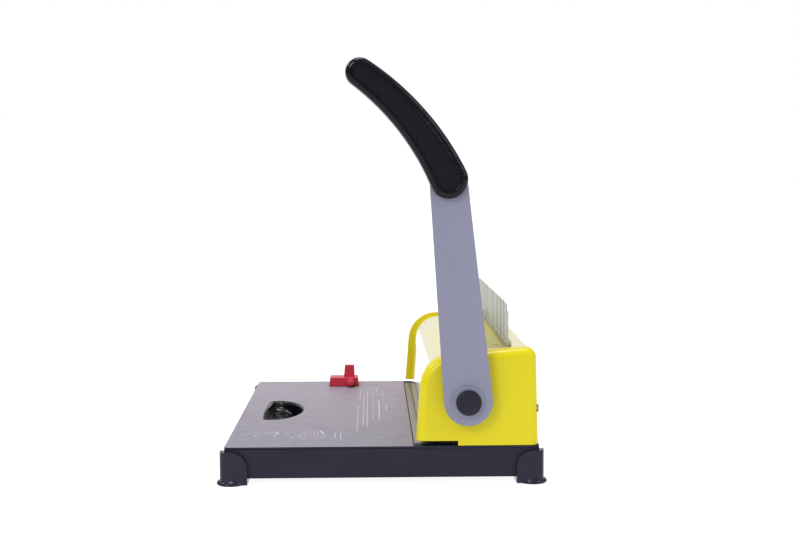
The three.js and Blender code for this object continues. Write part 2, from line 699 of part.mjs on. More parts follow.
function gripShell(side) {
  const { inner, outer, bevel } = grip;
  const { startAngle, endAngle, startHalf, endHalf } = grip;
  const band = bandOutline(startAngle, endAngle, startHalf, endHalf, 12);
  const whole = prism("x", band, inner, outer, bevel);
  const split = (arm.inner + arm.outer) / 2;
  const [low, high] = side > 0 ? [split + GAP / 2, outer + 1] : [inner - 1, split - GAP / 2];
  const keep = block(low, high, -200, 200, 200, 500);
  const pocket = [arm.inner - 0.35, arm.outer + 0.35];
  const holes = gripScrewPoints.flatMap((p) =>
    side > 0
      ? [rod("x", 1.9, split - 1, 215, p.x, p.y, 8)]
      : [
          rod("x", 2.4, inner - 1, split + 1, p.x, p.y, 8),
          rod("x", 4.8, inner - 1, inner + 3.4, p.x, p.y, 12),
        ],
  );
  return cut(
    whole.intersect(keep),
    prism("x", barOutline(0.4), ...pocket),
    prism("x", tangOutline(0.4), ...pocket),
    holes,
  );
}

const collar = { left: cap.outer + 0.4, right: arm.inner - GAP, radius: 11 };
const washer = { left: arm.outer + GAP, right: arm.outer + 2.2, radius: 15.5 };
const pivotHead = { radius: 11.5, thick: 6.2, bevel: 1.5 };

function ringOn(shaftPiece, bore) {
  const { left, right, radius } = shaftPiece;
  return cut(
    rod("x", radius, left, right, shaft.y, shaft.z, 28),
    rod("x", bore, left - 1, right + 1, shaft.y, shaft.z, 20),
  );
}

function pivotScrew() {
  const headStart = washer.right + GAP;
  const { radius, thick, bevel } = pivotHead;
  const head = prism("x", disc(radius, shaft.y, shaft.z, 28), headStart - bevel, headStart + thick, bevel);
  const { y, z } = shaft;
  const trimmed = cut(head, block(headStart - 5, headStart, y - 20, y + 20, z - 20, z + 20));
  return join(trimmed, rod("x", 3, shaft.right - 15, headStart + 1, shaft.y, shaft.z, 12));
}

// ---- Putting it together ---------------------------------------------------------------------
place("base_tray", baseTray(), "darkPaint");
place("platform_plate", platformPlate(), "greyPaint");
place("handhold_cup", handholdCup(), "blackPlastic");
place("rear_deck", rearDeck(), "darkPaint");
placeFeet();
place("chip_drawer", chipDrawer(), "darkPaint");
const railLow = base.bottom + base.sheet + GAP;
const drawerRail = (y0, y1) => block(-halfWidth + 2.5, drawer.end, y0, y1, railLow, 18);
place("drawer_rail_front", drawerRail(drawer.front - 2, drawer.front - 0.6), "zincSteel");
place("drawer_rail_rear", drawerRail(drawer.back + 0.6, drawer.back + 2), "zincSteel");
place("side_guide", sideGuide(), "redPlastic");
place("guide_clamp_plate", guideClampPlate(), "zincSteel");
place("guide_lock_knob", guideLockKnob(), "redPlastic");

place("centre_cover", centreCover(), "yellowPlastic");
// A screw through a rear wall that is set in from the caps' wall, whose face leans forward.
function rearScrew(x, z, inset, shankRadius, shankEnd) {
  const low = base.top + GAP;
  const lean = (housing.rearHigh - housing.rearLow) / (housing.crest - low);
  const face = housing.rearLow + lean * (z - low) - inset + 0.2;
  return pushScrew("y", 4, face, face + 1.2, shankRadius, shankEnd, x, z);
}
const capScrew = (side) => rearScrew(side * rearLug.x, rearLug.z, 0, 1.5, 138);
const lidScrew = (side) => rearScrew(side * coverScrew.x, coverScrew.z, coverInset.rear, 1.9, 133);
for (const side of [1, -1]) {
  const which = sideName(side);
  place("end_cap_" + which, endCap(side), "yellowPlastic");
  place("cap_screw_" + which, capScrew(side), "zincSteel");
  place("cover_screw_" + which, lidScrew(side), "zincSteel");
  place("side_frame_" + which, sideFrame(side), "plainSteel");
  boltHoleY.forEach((y, i) => place("frame_bolt_" + which + "_" + (i + 1), frameBolt(side, y), "zincSteel"));
  place("shaft_bush_" + which, shaftBush(side), "bronze");
  place("punch_pinion_" + which, driveSector(side, punchSector, drive.punchX), "plainSteel");
  place("opener_pinion_" + which, driveSector(side, openerSector, drive.openerX), "plainSteel");
  place("opener_rail_" + which, openerRail(side), "zincSteel");
  place("punch_return_spring_" + which, returnSpring(side), "springSteel");
}
place("die_plate", diePlate(), "dieSteel");
place("punch_guide_plate", punchGuidePlate(), "dieSteel");
place("paper_stop_bar", paperStopBar(), "dieSteel");
place("punch_bar", punchBar(), "dieSteel");
place("lower_tie_rod", rod("x", 5, -plateHalf, plateHalf, 134, 55, 12), "zincSteel");
place("drive_shaft", driveShaft(), "plainSteel");
place("shaft_clip", shaftClip(), "springSteel");
place("tine_bar", block(-plateHalf, plateHalf, ...tineBarPlace), "plainSteel");
place("tine_plate", tinePlate(), "plainSteel");
place("hook_carriage", hookCarriage(), "plainSteel");

place("handle_arm", handleArm(), "armPaint");
place("arm_collar", ringOn(collar, shaft.bore), "zincSteel");
place("pivot_washer", ringOn(washer, 3.6), "zincSteel");
place("pivot_screw", pivotScrew(), "blackPlastic");
place("grip_outer_shell", gripShell(1), "blackPlastic");
place("grip_inner_shell", gripShell(-1), "blackPlastic");
Object.keys(gripScrewAngles).forEach((which, i) => {
  const { x, y } = gripScrewPoints[i];
  const head = grip.inner + 0.9;
  place("grip_screw_" + which, pushScrew("x", 4.2, head, head + 2.2, 1.6, 213.5, x, y), "zincSteel");
});

// The origin is on the table under the middle of the machine's outline.
const outer = new THREE.Box3().setFromObject(machine);
machine.position.x = -(outer.min.x + outer.max.x) / 2;
machine.updateMatrixWorld(true);

export default machine;
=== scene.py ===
# A manual punch-and-bind machine for plastic comb spines, dressed over its CAD frame.
# The helpers work in millimetres, with x counted from the middle of the base.
import math
import random

import bmesh
import bpy
from mathutils import Matrix, Vector


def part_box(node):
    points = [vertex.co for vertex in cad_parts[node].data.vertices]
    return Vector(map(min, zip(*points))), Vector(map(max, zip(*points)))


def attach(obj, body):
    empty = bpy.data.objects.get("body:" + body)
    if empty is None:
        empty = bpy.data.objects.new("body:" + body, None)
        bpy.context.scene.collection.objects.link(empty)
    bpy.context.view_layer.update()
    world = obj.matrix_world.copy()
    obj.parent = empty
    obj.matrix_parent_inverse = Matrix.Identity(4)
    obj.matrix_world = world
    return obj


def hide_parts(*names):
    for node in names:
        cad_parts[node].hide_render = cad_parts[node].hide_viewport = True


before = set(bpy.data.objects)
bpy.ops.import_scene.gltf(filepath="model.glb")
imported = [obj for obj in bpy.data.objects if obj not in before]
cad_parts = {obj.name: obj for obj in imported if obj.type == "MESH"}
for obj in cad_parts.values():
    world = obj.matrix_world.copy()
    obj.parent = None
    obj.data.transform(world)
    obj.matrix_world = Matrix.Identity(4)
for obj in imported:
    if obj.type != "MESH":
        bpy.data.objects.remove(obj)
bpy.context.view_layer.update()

MM = 0.001
base_low, base_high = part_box("base_tray")
MIDDLE = Vector(((base_low.x + base_high.x) / 2, 0, 0))


def span(node):
    """A CAD node's lowest and highest corner in millimetres."""
    low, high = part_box(node)
    return (low - MIDDLE) / MM, (high - MIDDLE) / MM


# ---- Driving dimensions ----------------------------------------------------------------
base_lo, base_hi = span("base_tray")
plate_lo, plate_hi = span("platform_plate")
cap_lo, cap_hi = span("end_cap_right")
cover_lo, cover_hi = span("centre_cover")
arm_lo, arm_hi = span("handle_arm")
grip_hi = span("grip_outer_shell")[1]
inner_grip_lo = span("grip_inner_shell")[0]
shaft_lo, shaft_hi = span("drive_shaft")
guide_lo, guide_hi = span("side_guide")
SHAFT_Y = (shaft_lo.y + shaft_hi.y) / 2
SHAFT_Z = (shaft_lo.z + shaft_hi.z) / 2
HALF = base_hi.x
DEPTH = base_hi.y
GAP = 0.3
CORNER = 4
PITCH = 14.2875
RINGS = 24
RING_X = [(i - (RINGS - 1) / 2) * PITCH for i in range(RINGS)]
TINE_X = [(i - RINGS / 2) * PITCH for i in range(RINGS + 1)]
CAP = dict(wall=2.7, rim=8.2, step=72.4, lip=41.3, flange=5.8)
HOUSING = dict(front_low=32.5, front_high=38.4, shoulder=121.5, crest=130.3, rear_high=147.1,
               rear_low=149.3, front_round=34, rear_round=9.5)
COVER = dict(front=5.5, top=2.2, rear=1.5, wall=2.5, step=60)
RECESS = dict(half=57, front=-124, bow=2.3, shoulder=-115.5, tip=-84.2, corner=6)
FOOT = dict(size=22.3, stand=4.3, top=32.3, arc=16, centre=6.4, radius=14.3, screw=10.5)
ARM = dict(lean=5.1, length=213, end=22.9, top=17.7, corner=9)
GRIP = dict(y=-160.3, z=187.1, radius=245.1, start=24.6, end=54.8, low=17.9, high=13.5)
TANG = dict(start=24, end=50, low=10, high=8.5)
COMB_Y = 121.7
random.seed(7)


# ---- Outlines ----------------------------------------------------------------------------
def outline(corners, steps=8):
    """A closed outline through corners (a, b, radius), each rounded by an arc."""
    points, count = [], len(corners)
    for i, corner in enumerate(corners):
        here = Vector(corner[:2])
        radius = corner[2] if len(corner) > 2 else 0
        if radius <= 0:
            points.append(here)
            continue
        back = (Vector(corners[i - 1][:2]) - here).normalized()
        ahead = (Vector(corners[(i + 1) % count][:2]) - here).normalized()
        half = math.acos(max(-1, min(1, back.dot(ahead)))) / 2
        centre = here + (back + ahead).normalized() * (radius / math.sin(half))
        first = here + back * (radius / math.tan(half)) - centre
        last = here + ahead * (radius / math.tan(half)) - centre
        start = math.atan2(first.y, first.x)
        sweep = (math.atan2(last.y, last.x) - start + math.pi) % math.tau - math.pi
        for k in range(steps + 1):
            angle = start + sweep * k / steps
            points.append(centre + Vector((math.cos(angle), math.sin(angle))) * radius)
    return points


def rectangle(a0, a1, b0, b1, radius=0, steps=5):
    return outline([(a0, b0, radius), (a1, b0, radius), (a1, b1, radius), (a0, b1, radius)], steps)


def circle(radius, a, b, sides=48):
    return [Vector((a + radius * math.cos(math.tau * i / sides),
                    b + radius * math.sin(math.tau * i / sides))) for i in range(sides)]


def inset(points, amount):
    """The outline moved inwards, by one amount or by one for each of its edges."""
    count = len(points)
    area = sum(points[i - 1].x * p.y - p.x * points[i - 1].y for i, p in enumerate(points))
    turn = 1 if area > 0 else -1
    amounts = amount if isinstance(amount, list) else [amount] * count
    moved = []
    for i, point in enumerate(points):
        before = (point - points[i - 1]).normalized()
        after = (points[(i + 1) % count] - point).normalized()
        n1 = Vector((-before.y, before.x)) * turn
        n2 = Vector((-after.y, after.x)) * turn
        a1, a2 = amounts[i - 1], amounts[i]
        c = n1.dot(n2)
        if c > 0.9999:
            moved.append(point + (n1 * a1 + n2 * a2) / 2)
        else:
            s = 1 - c * c
            moved.append(point + n1 * ((a1 - c * a2) / s) + n2 * ((a2 - c * a1) / s))
    return moved


# ---- Solids ------------------------------------------------------------------------------
LAY = {
    "x": lambda p, d: Vector((d, p.x, p.y)),
    "y": lambda p, d: Vector((p.x, d, p.y)),
    "z": lambda p, d: Vector((p.x, p.y, d)),
}


def loft(rings):
    """Corners and faces of a skin through rings of equal count, closed at both ends."""
    count = len(rings[0])
    corners = [p for ring in rings for p in ring]
    faces = []
    for k in range(len(rings) - 1):
        for i in range(count):
            j = (i + 1) % count
            faces.append((k * count + i, k * count + j, (k + 1) * count + j, (k + 1) * count + i))
    faces.append(tuple(range(count))[::-1])
    faces.append(tuple(range((len(rings) - 1) * count, len(rings) * count)))
    return corners, faces


def prism(axis, points, low, high, rim_low=0, rim_high=0, steps=4, soft=None):
    """An outline drawn out along an axis, its rims rounded. soft(edge middle) tells whether
    an edge of the outline takes the rim."""
    def amounts(size):
        if soft is None:
            return size
        middles = [(p + points[(i + 1) % len(points)]) / 2 for i, p in enumerate(points)]
        return [size if soft(m) else 0 for m in middles]
    rings = []
    if rim_low:
        for k in range(steps):
            t = math.pi / 2 * k / steps
            ring = inset(points, amounts(rim_low * (1 - math.sin(t))))
            rings.append([LAY[axis](p, low + rim_low * (1 - math.cos(t))) for p in ring])
    rings.append([LAY[axis](p, low + rim_low) for p in points])
    rings.append([LAY[axis](p, high - rim_high) for p in points])
    if rim_high:
        for k in range(1, steps + 1):
            t = math.pi / 2 * k / steps
            ring = inset(points, amounts(rim_high * (1 - math.cos(t))))
            rings.append([LAY[axis](p, high - rim_high * (1 - math.sin(t))) for p in ring])
    return loft(rings)


def block(x0, x1, y0, y1, z0, z1):
    return prism("z", rectangle(x0, x1, y0, y1), z0, z1)


def turned(axis, a, b, profile, sides=48):
    """A solid of revolution about an axis through (a, b); profile is (radius, station)."""
    return loft([[LAY[axis](p, d) for p in circle(r, a, b, sides)] for r, d in profile])


def mirrored(raw):
    return [Vector((-p.x, p.y, p.z)) for p in raw[0]], raw[1]


def merged(raws):
    corners, faces = [], []
    for more, their in raws:
        shift = len(corners)
        corners += more
        faces += [tuple(i + shift for i in f) for f in their]
    return corners, faces


def to_object(name, raw):
    mesh = bpy.data.meshes.new(name)
    made = bmesh.new()
    corners = [made.verts.new(p * MM + MIDDLE) for p in raw[0]]
    for face in raw[1]:
        made.faces.new([corners[i] for i in face])
    bmesh.ops.remove_doubles(made, verts=made.verts, dist=1e-7)
    bmesh.ops.recalc_face_normals(made, faces=made.faces)
    made.to_mesh(mesh)
    made.free()
    piece = bpy.data.objects.new(name, mesh)
    bpy.context.scene.collection.objects.link(piece)
    return piece


def applied(piece):
    """Bakes the piece's modifiers into its mesh."""
    depsgraph = bpy.context.evaluated_depsgraph_get()
    mesh = bpy.data.meshes.new_from_object(piece.evaluated_get(depsgraph))
    piece.modifiers.clear()
    piece.data = mesh
    return piece


def carved(piece, raws, operation):
    if not raws:
        return
    tool = to_object("tool", merged(raws))
    change = piece.modifiers.new("change", "BOOLEAN")
    change.operation, change.solver, change.object = operation, "EXACT", tool
    applied(piece)
    bpy.data.objects.remove(tool)


def softened(piece, edge=0.0, segments=2, angle=35):
    """Small rounded edges, smooth shading between them, and normals that keep flats flat."""
    if edge:
        bevel = piece.modifiers.new("edges", "BEVEL")
        bevel.width, bevel.segments = edge * MM, segments
        bevel.limit_method, bevel.angle_limit = "ANGLE", math.radians(angle)
        bevel.miter_outer = "MITER_ARC"
        applied(piece)
    mesh = piece.data
    mesh.polygons.foreach_set("use_smooth", [True] * len(mesh.polygons))
    mesh.set_sharp_from_angle(angle=math.radians(angle))
    weigh = piece.modifiers.new("normals", "WEIGHTED_NORMAL")
    weigh.keep_sharp = True
    return applied(piece)


def build(name, body, look, raws, cut=(), add=(), edge=0.0, segments=2, angle=35,
          replaces=()):
    """One visible piece: joined, carved, softened, painted, and riding on its body."""
    piece = to_object(name, merged(raws))
    for raw in add:
        carved(piece, [raw], "UNION")
    for group in cut:
        carved(piece, group if isinstance(group, list) else [group], "DIFFERENCE")
    softened(piece, edge, segments, angle)
    piece.data.materials.clear()
    piece.data.materials.append(look)
    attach(piece, body)
    if replaces:
        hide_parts(*replaces)
    return piece


# ---- Materials ---------------------------------------------------------------------------
def rgb(r, g, b):
    """A colour given as 0-255 display values, in linear light."""
    channel = [c / 255 for c in (r, g, b)]
    return tuple(c / 12.92 if c <= 0.04045 else ((c + 0.055) / 1.055) ** 2.4 for c in channel) + (1,)


class Look:
    """A node material under construction. Lengths are in millimetres on the piece."""

    def __init__(self, name, metallic=0.0, **sockets):
        self.material = bpy.data.materials.new(name)
        self.material.use_nodes = True
        self.tree = self.material.node_tree
        self.tree.nodes.clear()
        out = self.node("ShaderNodeOutputMaterial")
        self.shader = self.node("ShaderNodeBsdfPrincipled")
        self.tree.links.new(self.shader.outputs[0], out.inputs[0])
        self.shader.inputs["Metallic"].default_value = metallic
        for key, value in sockets.items():
            self.shader.inputs[key.replace("_", " ")].default_value = value
        self.place = self.node("ShaderNodeTexCoord").outputs["Object"]
        self.height = None

    def node(self, kind, **settings):
        made = self.tree.nodes.new(kind)
        for key, value in settings.items():
            setattr(made, key, value)
        return made

    def wire(self, source, target):
        if isinstance(source, (int, float, tuple)):
            target.default_value = source
        else:
            self.tree.links.new(source, target)

    def stretched(self, size, stretch):
        scaled = self.node("ShaderNodeMapping")
        self.wire(self.place, scaled.inputs["Vector"])
        scaled.inputs["Scale"].default_value = [s / (size * MM) for s in stretch]
        return scaled.outputs[0]

    def noise(self, size, detail=2.0, roughness=0.5, stretch=(1, 1, 1), shift=0.0):
        made = self.node("ShaderNodeTexNoise", noise_dimensions="4D")
        self.wire(self.stretched(size, stretch), made.inputs["Vector"])
        made.inputs["Scale"].default_value = 1
        made.inputs["W"].default_value = shift
        made.inputs["Detail"].default_value = detail
        made.inputs["Roughness"].default_value = roughness
        return made.outputs["Fac"]

    def cells(self, size, feature="F1", stretch=(1, 1, 1)):
        made = self.node("ShaderNodeTexVoronoi", feature=feature)
        self.wire(self.stretched(size, stretch), made.inputs["Vector"])
        made.inputs["Scale"].default_value = 1
        return made.outputs["Distance"]

    def ranged(self, value, low, high, to_low=0.0, to_high=1.0, smooth=True):
        made = self.node("ShaderNodeMapRange", interpolation_type="SMOOTHSTEP" if smooth else "LINEAR")
        for key, number in zip(("Value", "From Min", "From Max", "To Min", "To Max"),
                               (value, low, high, to_low, to_high)):
            self.wire(number, made.inputs[key])
        return made.outputs["Result"]

    def maths(self, operation, a, b=0.0):
        made = self.node("ShaderNodeMath", operation=operation)
        self.wire(a, made.inputs[0])
        self.wire(b, made.inputs[1])
        return made.outputs[0]

    def mixed(self, share, a, b):
        made = self.node("ShaderNodeMix", data_type="RGBA")
        self.wire(share, made.inputs[0])
        self.wire(a, made.inputs[6])
        self.wire(b, made.inputs[7])
        return made.outputs[2]

    def bump(self, height, depth, strength=1.0):
        """Adds relief of the given depth in millimetres over what is there."""
        made = self.node("ShaderNodeBump")
        made.inputs["Strength"].default_value = strength
        made.inputs["Distance"].default_value = depth * MM
        self.wire(height, made.inputs["Height"])
        if self.height:
            self.wire(self.height, made.inputs["Normal"])
        self.height = made.outputs[0]

    def done(self, color, roughness):
        self.wire(color, self.shader.inputs["Base Color"])
        self.wire(roughness, self.shader.inputs["Roughness"])
        if self.height:
            self.wire(self.height, self.shader.inputs["Normal"])
        return self.material


def axis_of(look, index):
    split = look.node("ShaderNodeSeparateXYZ")
    look.wire(look.place, split.inputs[0])
    return split.outputs[index]


def up_facing(look):
    """1 on what faces up, 0 on walls, in the piece's own frame."""
    split = look.node("ShaderNodeSeparateXYZ")
    look.wire(look.node("ShaderNodeTexCoord").outputs["Normal"], split.inputs[0])
    return look.ranged(split.outputs[2], 0.3, 0.95)


def powder_coat(name, color, worn, rough, peel=0.02, grain=0.9, gloss=0.5, dusty=0.08, far_painted_sheen=None):
    """Baked powder paint: orange peel, small specks, slight change of tone, dust on tops, and, when asked,
    a painted sheen that lightens the paint towards -x, away from the camera.
    """
    look = Look(name, Specular_IOR_Level=gloss)
    broad = look.noise(60, 3, 0.6)
    specks = look.ranged(look.noise(0.6, 2, 0.6, shift=3), 0.62, 0.72)
    tone = look.mixed(look.ranged(broad, 0.3, 0.7, 0, 0.5), color, worn)
    tone = look.mixed(look.maths("MULTIPLY", specks, 0.25), tone, worn)
    # Painted sheen: the colour is lightened towards -x, away from the camera, in place of the grazing
    # reflection that grows there.
    if far_painted_sheen:
        tone = look.mixed(look.ranged(axis_of(look, 0), 0.2, -0.2, 0, 0.8), tone, far_painted_sheen)
    dust = look.ranged(look.noise(9, 5, 0.7, shift=8), 0.5, 0.75, 0, dusty)
    tone = look.mixed(look.maths("MULTIPLY", up_facing(look), dust), tone, rgb(190, 186, 180))
    look.bump(look.noise(grain, 2, 0.55), peel, 0.7)
    return look.done(tone, look.ranged(look.noise(14, 4, 0.6, shift=5), 0.3, 0.7,
                                        rough - 0.05, rough + 0.07))


def moulded(name, color, deep, rough, grain=0.35, relief=0.012, gloss=0.5, wave=0.05, coat=0.0):
    """Injection-moulded plastic: spark-eroded grain, faint flow marks, slight tone change."""
    look = Look(name, Specular_IOR_Level=gloss, Coat_Weight=coat, Coat_Roughness=0.05)
    flow = look.noise(70, 2, 0.5, stretch=(0.4, 1, 1))
    tone = look.mixed(look.ranged(flow, 0.3, 0.7, 0, 0.45), color, deep)
    pits = look.ranged(look.noise(grain * 2.5, 2, 0.5, shift=4), 0.35, 0.65, 0, 0.18)
    tone = look.mixed(pits, tone, deep)
    look.bump(look.noise(grain, 2, 0.6), relief, 0.8)
    look.bump(look.noise(25, 1, 0.4, shift=7), wave, 0.25)
    scuffs = look.ranged(look.noise(1.2, 3, 0.7, stretch=(1, 0.12, 1), shift=9), 0.62, 0.72, 0, 0.12)
    dull = look.ranged(look.noise(11, 4, 0.6, shift=5), 0.3, 0.7, rough - 0.04, rough + 0.05)
    return look.done(tone, look.maths("ADD", dull, scuffs))


def metal(name, color, dark, rough, brush=(0.05, 1, 1), size=0.5, relief=0.006, spots=0.15):
    """Machined or plated metal: brushed lines, stains, and roughness that follows them."""
    look = Look(name, metallic=1.0)
    lines = look.noise(size, 3, 0.65, stretch=brush)
    stain = look.noise(12, 4, 0.65, shift=4)
    tone = look.mixed(look.ranged(lines, 0.3, 0.7, 0, 0.35), color, dark)
    tone = look.mixed(look.ranged(stain, 0.52, 0.75, 0, spots), tone, dark)
    look.bump(lines, relief, 0.8)
    return look.done(tone, look.maths("ADD", look.ranged(lines, 0.3, 0.7, rough - 0.07, rough + 0.08),
                                      look.ranged(stain, 0.4, 0.8, 0, 0.1)))


def leather_grain():
    """The grip's grained panel: domed cells with creases between them, the creases darkened with painted
    shade.
    """
    look = Look("grip_panel", Specular_IOR_Level=0.13)
    crease = look.ranged(look.cells(1.5, "DISTANCE_TO_EDGE"), 0.0, 0.16)
    small = look.ranged(look.cells(0.7, "DISTANCE_TO_EDGE"), 0.0, 0.2)
    wear = look.noise(18, 3, 0.6)
    # Painted shade: the colour darkens in the creases between the cells.
    tone = look.mixed(crease, rgb(2, 1, 9), rgb(12, 10, 27))
    tone = look.mixed(look.ranged(wear, 0.4, 0.75, 0, 0.35), tone, rgb(12, 10, 26))
    look.bump(look.maths("ADD", crease, look.maths("MULTIPLY", small, 0.5)), 0.2, 1.0)
    return look.done(tone, look.ranged(wear, 0.3, 0.7, 0.3, 0.4))


def print_ink():
    """Screen-printed ink, thin and a little broken where paper has rubbed it."""
    look = Look("print_ink", Specular_IOR_Level=0.4)
    rubbed = look.ranged(look.noise(1.1, 4, 0.7), 0.42, 0.62)
    tone = look.mixed(rubbed, rgb(196, 190, 203), rgb(158, 150, 164))
    look.bump(look.noise(0.3, 2, 0.5), 0.004, 0.5)
    return look.done(tone, look.ranged(look.noise(5, 2), 0.3, 0.7, 0.5, 0.62))


base_coat = powder_coat("base_coat", rgb(27, 25, 41), rgb(38, 36, 51), 0.45, gloss=0.16, dusty=0.02)
# The platform's paint gets a painted sheen, lighter towards its far (-x) side.
platform_coat = powder_coat("platform_coat", rgb(114, 110, 123), rgb(120, 116, 129), 0.45,
                            gloss=0.5, dusty=0.04, far_painted_sheen=rgb(138, 127, 140))
arm_coat = powder_coat("arm_coat", rgb(118, 119, 139), rgb(124, 125, 145), 0.42, peel=0.015, gloss=0.4)
yellow = moulded("yellow_plastic", rgb(199, 186, 4), rgb(191, 177, 3), 0.22, relief=0.004, gloss=0.28)
# The cover's yellow is set a little lighter and whiter than the caps': a painted share of the glare on its
# front. Its gloss and coat are real.
cover_yellow_painted_glare = moulded("cover_yellow_painted_glare", rgb(206, 194, 14), rgb(198, 186, 10), 0.12, relief=0.001, gloss=0.5,
                       coat=1.0)
grip_gloss = moulded("grip_gloss", rgb(5, 4, 14), rgb(10, 8, 21), 0.12, relief=0.002, gloss=0.2)
cup_black = moulded("cup_black", rgb(5, 4, 10), rgb(10, 9, 16), 0.16, relief=0.0004, gloss=0.3, wave=0.002)
screw_black = moulded("screw_black", rgb(20, 18, 33), rgb(38, 36, 52), 0.4, grain=0.9,
                     relief=0.05, gloss=0.2)
foot_rubber = moulded("foot_rubber", rgb(24, 21, 40), rgb(31, 28, 47), 0.15, grain=0.5,
                     relief=0.006, gloss=0.22)
guide_red = moulded("guide_red", rgb(174, 38, 60), rgb(150, 28, 50), 0.3, gloss=0.35)
grip_leather = leather_grain()
ink = print_ink()
steel = metal("bright_steel", rgb(205, 205, 198), rgb(150, 150, 146), 0.3)
tine_metal = metal("tine_metal", rgb(226, 228, 226), rgb(184, 186, 182), 0.36, brush=(1, 1, 0.05))
tine_edge = metal("tine_edge", rgb(166, 169, 164), rgb(108, 110, 106), 0.42, brush=(1, 1, 0.05))
dark_steel = metal("dark_steel", rgb(78, 72, 62), rgb(36, 33, 28), 0.45, spots=0.3)
die_metal = metal("die_steel", rgb(170, 163, 156), rgb(122, 116, 108), 0.5, spots=0.3)
tool_metal = metal("tool_steel", rgb(150, 147, 138), rgb(92, 88, 80), 0.42, spots=0.4)
zinc = metal("zinc_plate", rgb(198, 200, 204), rgb(150, 152, 158), 0.32,
             brush=(1, 1, 1), size=2.2, spots=0.3)
spring_metal = metal("spring_steel", rgb(128, 130, 134), rgb(70, 71, 76), 0.3, brush=(1, 1, 1), size=0.8)
bronze = metal("bush_bronze", rgb(176, 122, 62), rgb(112, 72, 34), 0.36, brush=(1, 0.2, 0.2), spots=0.4)


# ---- CAD nodes that stay as they are, with finer edges and real materials ------------------
def dress(node, look, edge=0.25, segments=2):
    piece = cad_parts[node]
    piece.data.materials.clear()
    piece.data.materials.append(look)
    if edge:
        bevel = piece.modifiers.new("edges", "BEVEL")
        bevel.width, bevel.segments = edge * MM, segments
        bevel.limit_method, bevel.angle_limit = "ANGLE", math.radians(40)


for side in ("left", "right"):
    dress("side_frame_" + side, dark_steel, 0.4)
    dress("shaft_bush_" + side, bronze)
    dress("punch_pinion_" + side, tool_metal, 0.1, 1)
    dress("opener_pinion_" + side, tool_metal, 0.1, 1)
    dress("opener_rail_" + side, zinc)
    dress("punch_return_spring_" + side, spring_metal, 0)
    for i in (1, 2):
        dress(f"frame_bolt_{side}_{i}", zinc)
for node in ("punch_guide_plate", "paper_stop_bar", "punch_bar"):
    dress(node, tool_metal, 0.15, 1)
dress("rear_deck", base_coat, 0.3)
dress("guide_clamp_plate", zinc)
dress("drawer_rail_front", zinc)
dress("drawer_rail_rear", zinc)
dress("lower_tie_rod", zinc)
dress("drive_shaft", steel)
dress("shaft_clip", spring_metal, 0.1, 1)
dress("tine_bar", steel)
dress("hook_carriage", steel, 0.3)
for where in ("front_right", "rear_right", "rear_left", "front_left"):
    dress("foot_screw_" + where, zinc, 0.3)


# ---- Base ----------------------------------------------------------------------------------
def base_tray():
    sheet, corner = 2, CORNER
    shell = prism("z", rectangle(-HALF, HALF, -DEPTH, DEPTH, corner), base_lo.z, base_hi.z)
    room = prism("z", rectangle(-HALF + sheet, HALF - sheet, -DEPTH + sheet, DEPTH - sheet, corner - sheet),
                 base_lo.z + sheet, base_hi.z + 5)
    window = block(-HALF - 1, -HALF + 5, 45, 97, base_lo.z + 2.2, 26)
    build("base_shell", "base", base_coat, [shell], cut=[room, window], edge=0.6,
          segments=3, replaces=["base_tray"])


def recess_ring(shrink, steps=24):
    """The recess's outline, drawn in evenly: a slightly bowed front and half an ellipse."""
    half, front = RECESS["half"] - shrink, RECESS["front"] + shrink
    corner = max(RECESS["corner"] - shrink, 0.5)
    bowed = [(half * t, front - RECESS["bow"] * (1 - t * t)) for t in (k / 12 - 1 for k in range(2, 23))]
    points = outline([(-half, RECESS["shoulder"]), (-half, front, corner), *bowed, (half, front, corner),
                      (half, RECESS["shoulder"])], 8)
    reach = RECESS["tip"] - shrink - RECESS["shoulder"]
    for i in range(1, steps):
        angle = math.pi * i / steps
        points.append(Vector((half * math.cos(angle), RECESS["shoulder"] + reach * math.sin(angle))))
    return points


def platform():
    corner = CORNER
    sheet = prism("z", outline([(-HALF, -DEPTH, corner), (HALF, -DEPTH, corner), (HALF, plate_hi.y),
                                (-HALF, plate_hi.y)], 10), plate_lo.z, plate_hi.z)
    hole = prism("z", recess_ring(0), plate_lo.z - 1, plate_hi.z + 1)
    slot = prism("z", rectangle(guide_lo.x + 5.4, guide_hi.x + 0.4, -45.2, -41.2, 1.9), plate_lo.z - 1,
                 plate_hi.z + 1)
    piece = build("platform", "base", platform_coat, [sheet],
                  cut=[[hole, slot]], edge=0.45,
                  segments=3, replaces=["platform_plate"])
    piece.data.materials.append(base_coat)
    for face in piece.data.polygons:
        face.material_index = 1 if face.normal.z < 0.8 else 0


